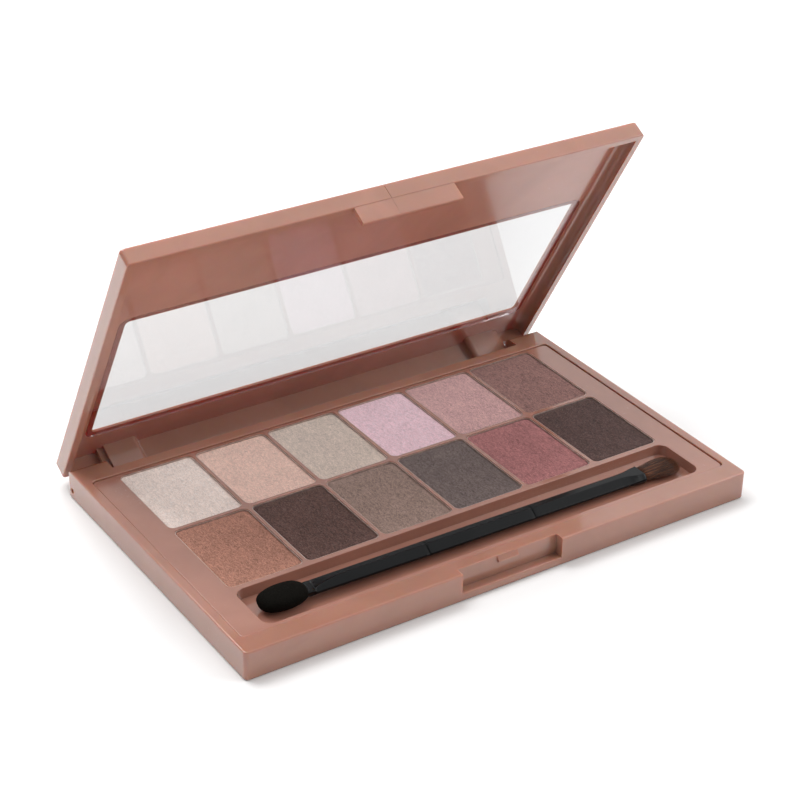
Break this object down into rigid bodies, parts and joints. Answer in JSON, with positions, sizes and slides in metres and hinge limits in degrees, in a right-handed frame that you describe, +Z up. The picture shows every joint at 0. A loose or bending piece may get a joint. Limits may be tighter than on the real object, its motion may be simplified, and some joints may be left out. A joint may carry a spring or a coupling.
{
  "type": "eyeshadow_palette",
  "caption": "Slim pressed eyeshadow palette with two rows of powder pans, a dual-ended sponge and brush applicator in its channel, and a hinged lid with a clear window",
  "frame": {"origin": "centre of the underside of the base", "axes": "+X along the palette's width to the right seen from the front, +Y from the catch at the front to the hinge at the rear, +Z up"},
  "size_m": [0.146, 0.0982, 0.0842],
  "materials": {
    "case_plastic": "gloss",
    "tray_plastic": "satin",
    "window_plastic": "gloss",
    "pan_metal": "satin",
    "pin_steel": "satin",
    "handle_plastic": "satin",
    "sponge_foam": "matte",
    "brush_hair": "matte",
    "shade_rear_1": "matte",
    "shade_rear_2": "matte",
    "shade_rear_3": "matte",
    "shade_rear_4": "matte",
    "shade_rear_5": "matte",
    "shade_rear_6": "matte",
    "shade_front_1": "matte",
    "shade_front_2": "matte",
    "shade_front_3": "matte",
    "shade_front_4": "matte",
    "shade_front_5": "matte",
    "shade_front_6": "matte"
  },
  "bodies": {
    "base": {"base_shell": "case_plastic", "insert_tray": "tray_plastic", "pan_rear_1": "pan_metal", "pan_rear_2": "pan_metal", "pan_rear_3": "pan_metal", "pan_rear_4": "pan_metal", "pan_rear_5": "pan_metal", "pan_rear_6": "pan_metal", "pan_front_1": "pan_metal", "pan_front_2": "pan_metal", "pan_front_3": "pan_metal", "pan_front_4": "pan_metal", "pan_front_5": "pan_metal", "pan_front_6": "pan_metal", "powder_rear_1": "shade_rear_1", "powder_rear_2": "shade_rear_2", "powder_rear_3": "shade_rear_3", "powder_rear_4": "shade_rear_4", "powder_rear_5": "shade_rear_5", "powder_rear_6": "shade_rear_6", "powder_front_1": "shade_front_1", "powder_front_2": "shade_front_2", "powder_front_3": "shade_front_3", "powder_front_4": "shade_front_4", "powder_front_5": "shade_front_5", "powder_front_6": "shade_front_6", "hinge_pin_left": "pin_steel", "hinge_pin_right": "pin_steel"},
    "lid": {"lid_frame": "case_plastic", "window_sheet": "window_plastic"},
    "applicator": {"applicator_sleeve": "handle_plastic", "sponge_stem": "handle_plastic", "brush_stem": "handle_plastic", "sponge_tip": "sponge_foam", "brush_tuft": "brush_hair"}
  },
  "joints": [
    {"name": "lid_hinge", "type": "hinge", "parent": "base", "child": "lid", "pos_m": [0, 0.043, 0.0025], "axis": [-1, 0, 0], "range_deg": [-60.5, 29.5]},
    {"name": "applicator_lift", "type": "slide", "parent": "base", "child": "applicator", "axis": [0, 0, 1], "range_m": [0, 0.04]}
  ]
}
